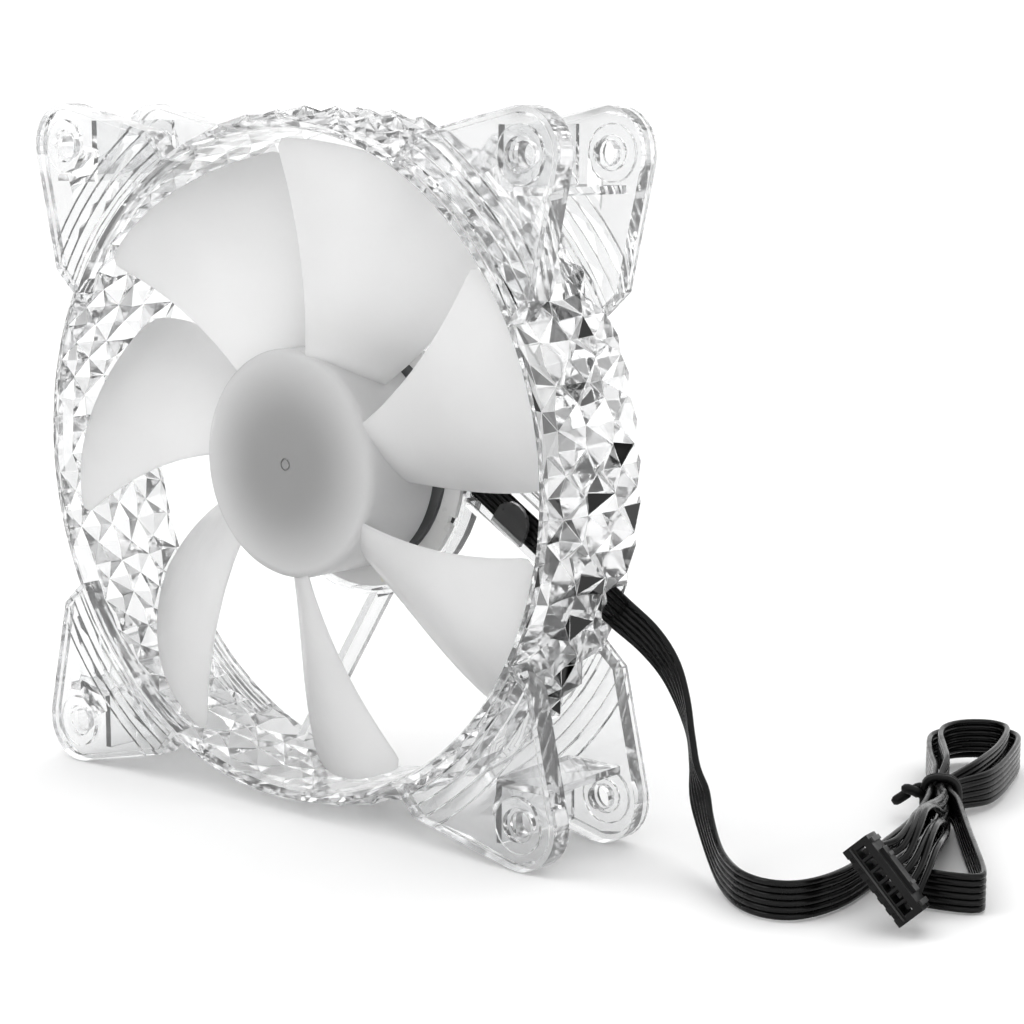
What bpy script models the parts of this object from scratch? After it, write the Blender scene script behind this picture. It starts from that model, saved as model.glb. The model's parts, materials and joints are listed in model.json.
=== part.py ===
"""A 120 mm computer case fan with a clear, cut-crystal frame and a flat six-wire lead.

Metres, +Z up.  The fan stands on its lower ears with its axis along Y: the inlet and the
hub face -Y, the struts and the motor base face +Y.  The origin is on the surface that the
fan stands on, below the middle of the frame.
"""
import math
import random

import bmesh
import bpy
from mathutils import Matrix, Vector

MM = 0.001

# ---- frame -------------------------------------------------------------------------
FRAME_SIZE = 120 * MM
FRAME_DEPTH = 25 * MM
HOLE_SPACING = 105 * MM
AXIS_HEIGHT = FRAME_SIZE / 2
HALF_DEPTH = FRAME_DEPTH / 2
BORE_RADIUS = 56.2 * MM
WALL_RADIUS = 58.0 * MM
FACET_COLUMNS = 104
FACET_ROWS = [y * MM for y in (-11.4, -8.0, -4.7, -1.1, 2.5, 5.5, 8.5, 12.3)]
PEAK_HEIGHTS = (1.5 * MM, 1.9 * MM)
MIDDLE_HEIGHTS = (1.1 * MM, 0.7 * MM, 0.1 * MM, -0.4 * MM)
LOW_HEIGHTS = (-0.9 * MM, -0.4 * MM)
EDGE_HEIGHTS = (-0.6 * MM, -0.1 * MM)
FACET_SHIFT = 0.45 * MM
EDGE_SCALLOP = 0.8 * MM
FACET_SEED = 7
EAR_THICKNESS = 4.0 * MM
EAR_CORNER_RADIUS = (FRAME_SIZE - HOLE_SPACING) / 2
EAR_SHOULDER = (55.2 * MM, 30.5 * MM)
EAR_ROOT_RADIUS = 57.0 * MM
EAR_ROOT_ANGLE = 27.5
EAR_RIM = 1.0 * MM
EAR_RECESS_DEPTH = 0.7 * MM
BOSS_RADIUS = 4.7 * MM
HOLE_RADIUS = 2.15 * MM
COUNTERSINK_RADIUS = 2.9 * MM
GROOVE_RADII = [r * MM for r in (59.4, 61.6, 63.8, 66.0)]
GROOVE_DEPTH = 0.28 * MM
RIB_OFFSET = 46.9 * MM
RIB_THICKNESS = 1.3 * MM
RIB_END = 57.0 * MM

# ---- motor base and struts ----------------------------------------------------------
BASE_RADIUS = 24.9 * MM
BASE_WALL = 0.7 * MM
BASE_LIP_Y = 8.0 * MM
BASE_FLOOR_Y = 10.9 * MM
TUBE_RADIUS = 4.5 * MM
TUBE_BORE = 3.2 * MM
TUBE_TOP_Y = -4.6 * MM
TUBE_BOTTOM_Y = 11.3 * MM
LABEL_FLOOR_Y = 11.8 * MM
STRUT_START = Vector((23.5 * MM, 0, 3.6 * MM))
STRUT_ANGLE = math.radians(-32.3)
STRUT_WIDTH = 1.9 * MM
STRUT_Y = (8.2 * MM, 12.3 * MM)
STRUT_REACH = 56.9 * MM

# ---- motor: turned pieces and rings ------------------------------------------------
# Profiles of the turned pieces: (radius, y) in millimetres.
CUP_PROFILE = [(2.4, -9.0), (18.0, -9.0), (18.0, 5.2), (17.3, 5.2), (17.3, -8.3), (2.4, -8.3)]
BUSH_PROFILE = [(1.8, -9.0), (2.1, -9.0), (2.1, -8.0), (3.4, -8.0), (3.4, -5.0), (1.8, -5.0)]
SHAFT_PROFILE = [(0, -8.8), (1.5, -8.8), (1.5, 9.2), (0.9, 9.2), (0.9, 10.0), (1.5, 10.0),
                 (1.2, 10.4), (0, 10.45)]
# Rings: inner radius, outer radius, front y and back y in millimetres.
MAGNET_RING = (15.2, 17.0, -6.5, 5.0)
SLEEVE_RING = (1.8, 2.9, -4.0, 9.0)
SEAL_RING = (1.8, 2.9, -4.5, -4.3)
RETAINING_RING = (1.2, 2.8, 9.45, 9.75)
CIRCUIT_BOARD_RING = (4.8, 19.4, 8.0, 9.2)
LED_BOARD_RING = (19.9, 23.4, 8.1, 9.1)
THRUST_PAD_PROFILE = [(0, 10.75), (2.8, 10.75), (2.8, 11.05), (0, 11.05)]
LABEL_PROFILE = [(0, 12.05), (21.2, 12.05), (21.2, 12.25), (0, 12.25)]
LED_BOARD_NOTCH = (1.8 * MM, 3 * MM, 1.6 * MM)
LED_BOARD_NOTCH_BEARING = -25
CORE_HALF_HEIGHT = 3.0
INSULATOR_Y = (3.3, 4.3)
SHOE_RADIUS = 14.4
SHOE_INNER_RADIUS = 12.9
ARM_HALF_WIDTH = 1.8
CORE_RADIUS = 6.4 * MM
CORE_BORE_RADIUS = 4.8 * MM
COIL_SIZE = (4.4 * MM, 11.8 * MM, 8.2 * MM)
COIL_HOLE = (7.0 * MM, 9.2 * MM, 4.6 * MM)
COIL_PLACE = (9.5 * MM, 0, 0)
COIL_CORNER = 1.4 * MM

# ---- lead ---------------------------------------------------------------------------
RIBBON_WIDTH = 6.0 * MM
RIBBON_THICKNESS = 1.0 * MM
RIBBON_Y = 10.1 * MM
LEAD_EXIT_RADIUS = 60.2 * MM
CHANNEL_PITCH = 7.9 * MM
CHANNEL_WALL = 1.3 * MM
CHANNEL_FLOOR_Y = 11.4 * MM
OPENING_WIDTH = CHANNEL_PITCH - CHANNEL_WALL + 0.3 * MM
NOTCH_Y = 6.6 * MM
SLOT_Y = 9.4 * MM
LEAD_ROUTE = [(60.3, 10.3, 35.1), (63.6, 10.8, 31.2), (66.4, 11.0, 26.0),
              (68.2, 10.8, 20.5), (69.8, 9.8, 15.5), (72.6, 7.6, 10.6), (77.0, 4.2, 6.6),
              (82.5, 0.2, 4.1), (88.5, -3.8, 3.2), (94.5, -5.6, 3.1), (99.2, -3.6, 3.1),
              (101.3, 1.6, 3.1), (101.5, 7.5, 3.1), (101.4, 13.55, 3.1)]
FRONT_HANK = [(97.3, 13.9), (104.6, 13.9), (106.2, 12.0), (117.6, 10.8), (119.0, 14.2),
              (120.3, 20.4), (118.8, 24.4), (97.0, 52.5), (92.68, 55.66), (89.86, 60.96),
              (84.92, 58.34), (87.74, 53.04), (91.5, 44.0), (95.0, 33.0), (96.6, 22.0)]
REAR_HANK = [(84.78, 58.6), (89.72, 61.22), (93.2, 68.5), (89.5, 82.5), (85.5, 93.5),
             (79.5, 97.5), (72.5, 96.0), (67.4, 91.0), (67.0, 84.5), (72.5, 74.0),
             (80.5, 63.5)]
HANK_HEIGHT = 6.2 * MM
REAR_HANK_HEIGHT = 8.4 * MM
TIE_CENTRE = Vector((88.8 * MM, 57.0 * MM, 3.7 * MM))
TIE_BEARING = math.radians(118)
PLUG_ORIGIN = Vector((115.6 * MM, -1.3 * MM, 1.6 * MM))
PLUG_ROW = Vector((-0.670, -0.108, 0.734)).normalized()
PLUG_DEPTH_AXIS = (Vector((-0.348, 0.920, -0.183))
                   - PLUG_ROW * Vector((-0.348, 0.920, -0.183)).dot(PLUG_ROW)).normalized()
PLUG_SIZE = (13.6 * MM, 7.0 * MM, 4.4 * MM)
PLUG_WAYS = 6
PLUG_PITCH = 2.0 * MM
PLUG_CAVITY = 1.5 * MM
PLUG_WAY_Z = 2.5 * MM
PLUG_BAR = (0.8 * MM, 0.4 * MM)
PLUG_BAR_Z = 1.3 * MM
PLUG_LATCH = (8.0 * MM, 3.5 * MM, 1.2 * MM)
PLUG_NOTCH = (0.8 * MM, 1.4 * MM, 1.6 * MM)
CONTACT_SIZE = (0.8 * MM, 3.6 * MM, 0.8 * MM)
CONTACT_DEPTH = 4.7 * MM
CLIP_PLACE = 15.2 * MM
CLIP_RADIUS = 3.6 * MM
CLIP_ROOT = 0.3 * MM
CLIP_STRAIGHT = 2.9 * MM
CLIP_Y = (8.3 * MM, 9.1 * MM)

# ---- rotor --------------------------------------------------------------------------
HUB_RADIUS = 19.5 * MM
GATE_RADIUS = 0.65 * MM
GATE_DEPTH = 0.15 * MM
HUB_WALL = 1.2 * MM
HUB_FRONT_Y = -10.5 * MM
HUB_BACK_Y = 5.6 * MM
HUB_EDGE = 1.5 * MM
BLADES = 7
BLADE_ROOT = 18.9 * MM
BLADE_TIP = 54.6 * MM
BLADE_STATIONS = 8
BLADE_CHORD_POINTS = 8
GAP = 0.3 * MM

COLOURS = {
    "clear": ((0.86, 0.90, 0.92), 0.05, 0.0),
    "frosted": ((0.78, 0.80, 0.80), 0.45, 0.0),
    "steel": ((0.45, 0.46, 0.48), 0.30, 1.0),
    "ferrite": ((0.06, 0.06, 0.06), 0.60, 0.0),
    "brass": ((0.72, 0.52, 0.22), 0.30, 1.0),
    "bronze": ((0.55, 0.33, 0.16), 0.45, 1.0),
    "nylon": ((0.75, 0.73, 0.66), 0.50, 0.0),
    "copper": ((0.62, 0.26, 0.10), 0.35, 1.0),
    "grey_board": ((0.18, 0.185, 0.185), 0.40, 0.0),
    "white_board": ((0.90, 0.90, 0.90), 0.40, 0.0),
    "chip": ((0.02, 0.02, 0.02), 0.50, 0.0),
    "led": ((0.93, 0.92, 0.82), 0.25, 0.0),
    "label": ((0.03, 0.03, 0.03), 0.55, 0.0),
    "lead": ((0.012, 0.012, 0.012), 0.42, 0.0),
    "housing": ((0.02, 0.02, 0.02), 0.40, 0.0),
    "tin": ((0.70, 0.70, 0.68), 0.25, 1.0),
}


# ---- scene helpers ------------------------------------------------------------------
def clear_scene():
    for item in list(bpy.data.objects):
        bpy.data.objects.remove(item, do_unlink=True)
    for name in ("case_fan", "cutters"):
        group = bpy.data.collections.get(name) or bpy.data.collections.new(name)
        if group.name not in bpy.context.scene.collection.children:
            bpy.context.scene.collection.children.link(group)


def material(name):
    existing = bpy.data.materials.get(name)
    if existing:
        return existing
    colour, roughness, metallic = COLOURS[name]
    made = bpy.data.materials.new(name)
    made.use_nodes = True
    shader = made.node_tree.nodes["Principled BSDF"]
    shader.inputs["Base Color"].default_value = (*colour, 1.0)
    shader.inputs["Roughness"].default_value = roughness
    shader.inputs["Metallic"].default_value = metallic
    return made


def add_object(name, bm, look=None, smooth=False, centred=True):
    """Turn a bmesh into an object; a centred one is drawn about the fan's middle."""
    bmesh.ops.recalc_face_normals(bm, faces=bm.faces)
    mesh = bpy.data.meshes.new(name)
    bm.to_mesh(mesh)
    bm.free()
    made = bpy.data.objects.new(name, mesh)
    if look:
        mesh.materials.append(material(look))
        bpy.data.collections["case_fan"].objects.link(made)
    else:
        made.hide_render = True
        made.display_type = "WIRE"
        bpy.data.collections["cutters"].objects.link(made)
    if smooth:
        mesh.shade_smooth()
        mesh.set_sharp_from_angle(angle=math.radians(35))
    if centred:
        made.location.z = AXIS_HEIGHT
    return made


def combine(target, tool, operation):
    step = target.modifiers.new(operation.lower(), "BOOLEAN")
    step.operation = operation
    step.object = tool
    return step


def turned(points, steps):
    """A solid of revolution about the fan's axis from a closed outline of (radius, y)."""
    bm = bmesh.new()
    verts = [bm.verts.new((r, y, 0)) for r, y in points]
    edges = [bm.edges.new((a, b)) for a, b in zip(verts, verts[1:] + verts[:1])
             if not (a.co.x < 1e-9 and b.co.x < 1e-9)]
    bmesh.ops.spin(bm, geom=verts + edges, cent=(0, 0, 0), axis=(0, 1, 0),
                   angle=math.tau, steps=steps, use_merge=True)
    bmesh.ops.remove_doubles(bm, verts=bm.verts, dist=1e-6)
    return bm


def ring_outline(inner, outer, front, back):
    return [(inner, front), (outer, front), (outer, back), (inner, back)]


def prism(points, front, back):
    """An outline of (x, z) points extruded along Y from front to back."""
    bm = bmesh.new()
    face = bm.faces.new([bm.verts.new((x, front, z)) for x, z in points])
    moved = bmesh.ops.extrude_face_region(bm, geom=[face])["geom"]
    lifted = [v for v in moved if isinstance(v, bmesh.types.BMVert)]
    bmesh.ops.translate(bm, verts=lifted, vec=(0, back - front, 0))
    return bm


def box(size, centre, turn=None):
    bm = bmesh.new()
    bmesh.ops.create_cube(bm, size=1.0)
    bmesh.ops.scale(bm, verts=bm.verts, vec=size)
    if turn:
        bmesh.ops.transform(bm, verts=bm.verts, matrix=turn.to_4x4())
    bmesh.ops.translate(bm, verts=bm.verts, vec=centre)
    return bm


def cylinder(radius, front, back, x=0.0, z=0.0, segments=20):
    bm = bmesh.new()
    lie_along_y = Matrix.Rotation(math.pi / 2, 4, "X")
    bmesh.ops.create_cone(bm, cap_ends=True, segments=segments, radius1=radius,
                          radius2=radius, depth=back - front, matrix=lie_along_y)
    bmesh.ops.translate(bm, verts=bm.verts, vec=(x, (front + back) / 2, z))
    return bm


def merge(parts):
    """Put several closed shells that don't touch into one bmesh."""
    whole = bmesh.new()
    for part in parts:
        mesh = bpy.data.meshes.new("shell")
        bmesh.ops.recalc_face_normals(part, faces=part.faces)
        part.to_mesh(mesh)
        part.free()
        whole.from_mesh(mesh)
        bpy.data.meshes.remove(mesh)
    return whole


def four_corners(build):
    """Four turned copies of one shell, a quarter turn apart about the fan's axis."""
    copies = []
    for quarter in range(4):
        part = build()
        turn = Matrix.Rotation(quarter * math.pi / 2, 4, "Y")
        bmesh.ops.transform(part, verts=part.verts, matrix=turn)
        copies.append(part)
    return merge(copies)


def polar(radius, degrees):
    angle = math.radians(degrees)
    return (radius * math.cos(angle), radius * math.sin(angle))


def arc(radius, start, end, count, x=0.0, z=0.0):
    steps = [start + (end - start) * i / count for i in range(count + 1)]
    return [(x + polar(radius, a)[0], z + polar(radius, a)[1]) for a in steps]


def inset(points, distance):
    """Move every side of an anticlockwise outline inwards by the same distance."""
    moved = []
    for before, here, after in zip(points[-1:] + points[:-1], points, points[1:] + points[:1]):
        normals = []
        for a, b in ((before, here), (here, after)):
            side = Vector((b[0] - a[0], b[1] - a[1])).normalized()
            normals.append(Vector((-side.y, side.x)))
        bisector = (normals[0] + normals[1]) / (1 + normals[0].dot(normals[1]))
        moved.append((here[0] + distance * bisector.x, here[1] + distance * bisector.y))
    return moved


# ---- frame --------------------------------------------------------------------------
def facet_ring():
    """The ring: a plain bore and lip, and an outer wall cut into eight-sided stars.

    The wall is a grid of half cells. Every second corner of every second row is a star's
    peak, the middle between four peaks is a lower star, and the points between are low.
    """
    chance = random.Random(FACET_SEED)
    outline = [(56.7 * MM, -12.4 * MM), (57.5 * MM, -12.4 * MM)]
    outline += [(WALL_RADIUS, y) for y in FACET_ROWS]
    outline += [(BORE_RADIUS, 12.3 * MM), (BORE_RADIUS, -11.2 * MM)]
    bm = turned(outline, FACET_COLUMNS)
    stars, wall = set(), {}
    for vert in bm.verts:
        if abs(math.hypot(vert.co.x, vert.co.z) - WALL_RADIUS) < 1e-6:
            row = min(range(len(FACET_ROWS)), key=lambda i: abs(FACET_ROWS[i] - vert.co.y))
            turn = math.atan2(vert.co.z, vert.co.x) / math.tau * FACET_COLUMNS
            wall[vert] = (row, round(turn) % FACET_COLUMNS)
    last_row = len(FACET_ROWS) - 1
    for vert, (row, column) in sorted(wall.items(), key=lambda item: item[1]):
        radial = Vector((vert.co.x, 0, vert.co.z)).normalized()
        tangent = Vector((-radial.z, 0, radial.x))
        peak = row % 2 == 0 and column % 2 == 0
        middle = row % 2 == 1 and column % 2 == 1
        height = chance.uniform(*PEAK_HEIGHTS) if peak else chance.uniform(*LOW_HEIGHTS)
        if middle:
            height = chance.choice(MIDDLE_HEIGHTS)
        if row in (0, last_row):
            height = chance.uniform(*EDGE_HEIGHTS)
        if peak or middle:
            stars.add(vert)
        vert.co += radial * height + tangent * chance.uniform(-FACET_SHIFT, FACET_SHIFT)
        if 0 < row < last_row:
            vert.co.y += chance.uniform(-FACET_SHIFT, FACET_SHIFT)
        elif row == last_row and not middle:
            vert.co.y -= EDGE_SCALLOP
    for cell in [f for f in bm.faces if all(v in wall for v in f.verts)]:
        ends = [v for v in cell.verts if v in stars]
        bmesh.utils.face_split(cell, *ends)
    bmesh.ops.triangulate(bm, faces=bm.faces)
    return bm


def ear_outline():
    """One ear seen from the front, anticlockwise, with its corner at +X +Z."""
    centre = HOLE_SPACING / 2
    to_shoulder = Vector((EAR_SHOULDER[0] - centre, EAR_SHOULDER[1] - centre))
    bearing = math.degrees(math.atan2(to_shoulder.y, to_shoulder.x))
    start = bearing + math.degrees(math.acos(EAR_CORNER_RADIUS / to_shoulder.length))
    points = arc(EAR_CORNER_RADIUS, start, 90 - start, 10, centre, centre)
    points.append((EAR_SHOULDER[1], EAR_SHOULDER[0]))
    points += arc(EAR_ROOT_RADIUS, 90 - EAR_ROOT_ANGLE, EAR_ROOT_ANGLE, 5)
    points.append(EAR_SHOULDER)
    return points


def ears():
    """Mounting ears: rim, sunk face, boss and hole, with curved grooves beside the ring."""
    front, back = -HALF_DEPTH, -HALF_DEPTH + EAR_THICKNESS
    centre = HOLE_SPACING / 2
    sunk = front + EAR_RECESS_DEPTH
    outline = ear_outline()
    plates = add_object("ear_plates", four_corners(lambda: prism(outline, front, back)))
    recess = add_object("ear_recesses", four_corners(
        lambda: prism(inset(outline, EAR_RIM), front - 1 * MM, sunk)))
    bosses = add_object("ear_bosses", four_corners(
        lambda: cylinder(BOSS_RADIUS, front, sunk + 1 * MM, centre, centre)))
    holes = add_object("ear_holes", four_corners(
        lambda: cylinder(HOLE_RADIUS, front - 1 * MM, back + 1 * MM, centre, centre)))
    steps = add_object("ear_hole_steps", four_corners(
        lambda: cylinder(COUNTERSINK_RADIUS, front - 1 * MM, front + 1 * MM, centre, centre)))
    grooves = merge([turned([(r - GROOVE_DEPTH, sunk - 0.1 * MM), (r, sunk + GROOVE_DEPTH),
                             (r + GROOVE_DEPTH, sunk - 0.1 * MM)], 90)
                     for r in GROOVE_RADII])
    groove_tool = add_object("ear_grooves", grooves)
    combine(plates, recess, "DIFFERENCE")
    combine(plates, bosses, "UNION")
    combine(plates, holes, "DIFFERENCE")
    combine(plates, steps, "DIFFERENCE")
    combine(plates, groove_tool, "DIFFERENCE")
    rear = baked(plates, "rear_ears", Matrix.Scale(-1, 4, (0, 1, 0)))
    front = baked(plates, "front_ears")
    for tool in (plates, recess, bosses, holes, steps, groove_tool):
        bpy.data.objects.remove(tool)
    return front, rear


def baked(source, name, matrix=None):
    """A plain mesh copy of an object with its modifiers, optionally moved by a matrix."""
    graph = bpy.context.evaluated_depsgraph_get()
    graph.update()
    mesh = bpy.data.meshes.new_from_object(source.evaluated_get(graph))
    bm = bmesh.new()
    bm.from_mesh(mesh)
    bpy.data.meshes.remove(mesh)
    if matrix:
        bmesh.ops.transform(bm, verts=bm.verts, matrix=matrix)
        if matrix.determinant() < 0:
            bmesh.ops.reverse_faces(bm, faces=bm.faces)
    return add_object(name, bm)


def corner_ribs():
    """The L of two thin plates that ties each front ear to the ear behind it."""
    length = RIB_END - RIB_OFFSET + RIB_THICKNESS / 2
    middle = RIB_END - length / 2
    depth = FRAME_DEPTH - 2 * EAR_THICKNESS + 2 * MM
    flat = add_object("ribs_flat", merge([
        box((length, depth, RIB_THICKNESS), (sx * middle, 0, sz * RIB_OFFSET))
        for sx in (-1, 1) for sz in (-1, 1)]))
    upright = add_object("ribs_upright", merge([
        box((RIB_THICKNESS, depth, length), (sx * RIB_OFFSET, 0, sz * middle))
        for sx in (-1, 1) for sz in (-1, 1)]))
    return [flat, upright]


def motor_base():
    """The cup that carries the motor, with its bearing tube and a sunk place for a label."""
    inner = BASE_RADIUS - BASE_WALL
    outline = [(0, TUBE_BOTTOM_Y), (TUBE_BORE, TUBE_BOTTOM_Y), (TUBE_BORE, TUBE_TOP_Y),
               (TUBE_RADIUS, TUBE_TOP_Y), (TUBE_RADIUS, BASE_FLOOR_Y), (inner, BASE_FLOOR_Y),
               (inner, BASE_LIP_Y), (BASE_RADIUS, BASE_LIP_Y), (BASE_RADIUS, 12.2 * MM),
               (21.6 * MM, 12.2 * MM), (21.6 * MM, LABEL_FLOOR_Y), (0, LABEL_FLOOR_Y)]
    return add_object("motor_base", turned(outline, 48))


def strut_direction(quarter=0):
    angle = STRUT_ANGLE - quarter * math.pi / 2
    return Vector((math.cos(angle), 0, math.sin(angle)))


def reach_to(start, direction, radius):
    """How far a ray in the XZ plane runs before it is at this radius."""
    along = start.dot(direction)
    return -along + math.sqrt(along * along - start.length_squared + radius * radius)


def bar(start, direction, length, width, front, back):
    """A straight bar in the plane of the struts."""
    turn = Matrix.Rotation(-math.atan2(direction.z, direction.x), 3, "Y")
    centre = start + direction * length / 2
    centre.y = (front + back) / 2
    return box((length, back - front, width), centre, turn)


def channel_side(offset):
    """A point on the lead channel's centre line family, offset across the channel."""
    across = Vector((math.sin(-STRUT_ANGLE), 0, math.cos(STRUT_ANGLE)))
    return STRUT_START + across * offset


def struts():
    """Three plain struts, and the trough of two rails and a floor that holds the lead."""
    tools = []
    for quarter in (1, 2, 3):
        turn = Matrix.Rotation(quarter * math.pi / 2, 3, "Y")
        direction = strut_direction(quarter)
        start = from_base(turn @ STRUT_START, direction)
        length = reach_to(start, direction, STRUT_REACH)
        tools.append(add_object(f"strut_{quarter}", bar(start, direction, length, STRUT_WIDTH,
                                                        *STRUT_Y)))
    direction = strut_direction()
    for name, offset in (("rail_upper", 0.0), ("rail_lower", -CHANNEL_PITCH)):
        start = from_base(channel_side(offset), direction)
        length = reach_to(start, direction, STRUT_REACH)
        tools.append(add_object(name, bar(start, direction, length, CHANNEL_WALL, *STRUT_Y)))
    start = from_base(channel_side(-CHANNEL_PITCH / 2), direction)
    length = reach_to(start, direction, STRUT_REACH)
    tools.append(add_object("channel_floor", bar(start, direction, length, CHANNEL_PITCH,
                                                 CHANNEL_FLOOR_Y + 0.1 * MM, 12.1 * MM)))
    tools.append(add_object("lead_clip", lead_clip(direction)))
    return tools


def from_base(point, direction):
    """Slide a point along its strut's line to where it meets the wall of the motor base."""
    across = point - direction * point.dot(direction)
    wall = BASE_RADIUS - BASE_WALL / 2
    return across + direction * math.sqrt(wall * wall - across.length_squared)


def lead_clip(direction):
    """A round-ended tongue that springs from the lower rail and keeps the lead down."""
    across = Vector((-direction.z, 0, direction.x))
    root = channel_side(-CHANNEL_PITCH) + direction * CLIP_PLACE
    outline = [(-CLIP_RADIUS, -CLIP_ROOT), (CLIP_RADIUS, -CLIP_ROOT),
               (CLIP_RADIUS, CLIP_STRAIGHT)]
    outline += arc(CLIP_RADIUS, 0, 180, 10, 0, CLIP_STRAIGHT)[1:]
    placed = [root + direction * x + across * z for x, z in outline]
    return prism([(p.x, p.z) for p in placed], *CLIP_Y)


def frame():
    ring = add_object("frame", facet_ring(), "clear")
    front, rear = ears()
    direction = strut_direction()
    middle = channel_side(-CHANNEL_PITCH / 2)
    wall_exit = middle + direction * (reach_to(middle, direction, 58 * MM) - 3 * MM)
    notch = add_object("lead_notch", bar(wall_exit, direction, 8 * MM, OPENING_WIDTH,
                                         NOTCH_Y, CHANNEL_FLOOR_Y))
    base = motor_base()
    slot_start = middle - direction * 3 * MM
    slot = add_object("lead_slot", bar(slot_start, direction, 9 * MM, OPENING_WIDTH,
                                       SLOT_Y, BASE_FLOOR_Y - 0.1 * MM))
    for tool in [front, rear, *corner_ribs()]:
        combine(ring, tool, "UNION")
    combine(base, slot, "DIFFERENCE")
    solid_base = baked(base, "motor_base_slotted")
    bpy.data.objects.remove(base)
    bpy.data.objects.remove(slot)
    combine(ring, notch, "DIFFERENCE")
    for tool in [solid_base, *struts()]:
        combine(ring, tool, "UNION")
    return ring


# ---- rotor --------------------------------------------------------------------------
def blade_mean(span, chord):
    """A point of the blade's middle surface; chord runs from leading to trailing edge."""
    lead_angle = 26.0 + 16.8 * span - 1.5 * span ** 2
    trail_angle = -6.6 - 2.4 * span + 12.3 * span ** 2
    lead_y = -9.7 + 0.2 * span
    trail_y = -0.7 + 15.8 * span - 9.6 * span ** 2
    bow = (1.5 + 2.5 * span) * 4 * chord * (1 - chord)
    angle = math.radians(lead_angle + (trail_angle - lead_angle) * chord)
    radius = BLADE_ROOT + (BLADE_TIP - BLADE_ROOT) * span
    axial = (lead_y + (trail_y - lead_y) * chord - bow) * MM
    return Vector((radius * math.cos(angle), axial, radius * math.sin(angle)))


def blade_section(span):
    """A closed loop of points round the blade at one radius, thin at both edges."""
    thickest = (1.5 - 0.5 * span) * MM
    front, back = [], []
    for i in range(BLADE_CHORD_POINTS + 1):
        chord = i / BLADE_CHORD_POINTS
        here = blade_mean(span, chord)
        along = blade_mean(span, chord + 0.01) - blade_mean(span, chord - 0.01)
        normal = along.cross(Vector((here.x, 0, here.z))).normalized()
        half = thickest * (0.28 + 0.22 * math.sin(math.pi * chord))
        front.append(here + normal * half)
        back.append(here - normal * half)
    return front + back[::-1]


def blade():
    """A twisted blade lofted through its sections from inside the hub to the tip."""
    bm = bmesh.new()
    loops = [[bm.verts.new(p) for p in blade_section(i / BLADE_STATIONS)]
             for i in range(BLADE_STATIONS + 1)]
    count = len(loops[0])
    for inner, outer in zip(loops, loops[1:]):
        for i in range(count):
            j = (i + 1) % count
            bm.faces.new((inner[i], inner[j], outer[j], outer[i]))
    for loop in (loops[0], loops[-1]):
        for i in range(count // 2 - 1):
            bm.faces.new((loop[i], loop[i + 1], loop[-2 - i], loop[-1 - i]))
    return bm


def blades():
    turned_blades = []
    for index in range(BLADES):
        part = blade()
        turn = Matrix.Rotation(-index * math.tau / BLADES, 4, "Y")
        bmesh.ops.transform(part, verts=part.verts, matrix=turn)
        turned_blades.append(part)
    return merge(turned_blades)


def impeller():
    inner = HUB_RADIUS - HUB_WALL
    rim = arc(HUB_EDGE, 90, 0, 4, HUB_RADIUS - HUB_EDGE, 0)
    outline = [(0, HUB_FRONT_Y + GATE_DEPTH), (GATE_RADIUS, HUB_FRONT_Y + GATE_DEPTH),
               (GATE_RADIUS, HUB_FRONT_Y)]
    outline += [(x, HUB_FRONT_Y + HUB_EDGE - z) for x, z in rim]
    outline += [(HUB_RADIUS, HUB_BACK_Y), (inner, HUB_BACK_Y),
                (inner, HUB_FRONT_Y + HUB_WALL), (0, HUB_FRONT_Y + HUB_WALL)]
    hub = add_object("impeller", turned(outline, 56), "frosted")
    combine(hub, add_object("blade_shells", blades()), "UNION")
    return hub


def rotor():
    """Everything that turns, hung on an empty on the axis."""
    axis = bpy.data.objects.new("rotor_axis", None)
    axis.location.z = AXIS_HEIGHT
    bpy.data.collections["case_fan"].objects.link(axis)
    pieces = [impeller()]
    for name, outline, look, steps in (
            ("rotor_cup", CUP_PROFILE, "steel", 48), ("shaft_bush", BUSH_PROFILE, "brass", 24),
            ("shaft", SHAFT_PROFILE, "steel", 20),
            ("magnet_ring", ring_outline(*MAGNET_RING), "ferrite", 48)):
        scaled = [(r * MM, y * MM) for r, y in outline]
        pieces.append(add_object(name, turned(scaled, steps), look, smooth=True))
    for piece in pieces:
        piece.parent = axis
        piece.location.z = 0.0


# ---- stator and boards --------------------------------------------------------------
def star_outline(shoe, shoe_inner, half_width, core, half_angle=38):
    """Four arms with curved shoes, seen along the axis."""
    points = []
    for pole in range(4):
        turn = 90 * pole

        def place(x, z):
            radius, angle = math.hypot(x, z), math.degrees(math.atan2(z, x))
            return polar(radius, angle + turn)

        points.append(place(math.sqrt(core ** 2 - half_width ** 2), -half_width))
        points.append(place(shoe_inner, -half_width))
        points.append(polar(shoe_inner, turn - half_angle))
        points += arc(shoe, turn - half_angle, turn + half_angle, 6)
        points.append(polar(shoe_inner, turn + half_angle))
        points.append(place(shoe_inner, half_width))
        points.append(place(math.sqrt(core ** 2 - half_width ** 2), half_width))
    return points


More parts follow.
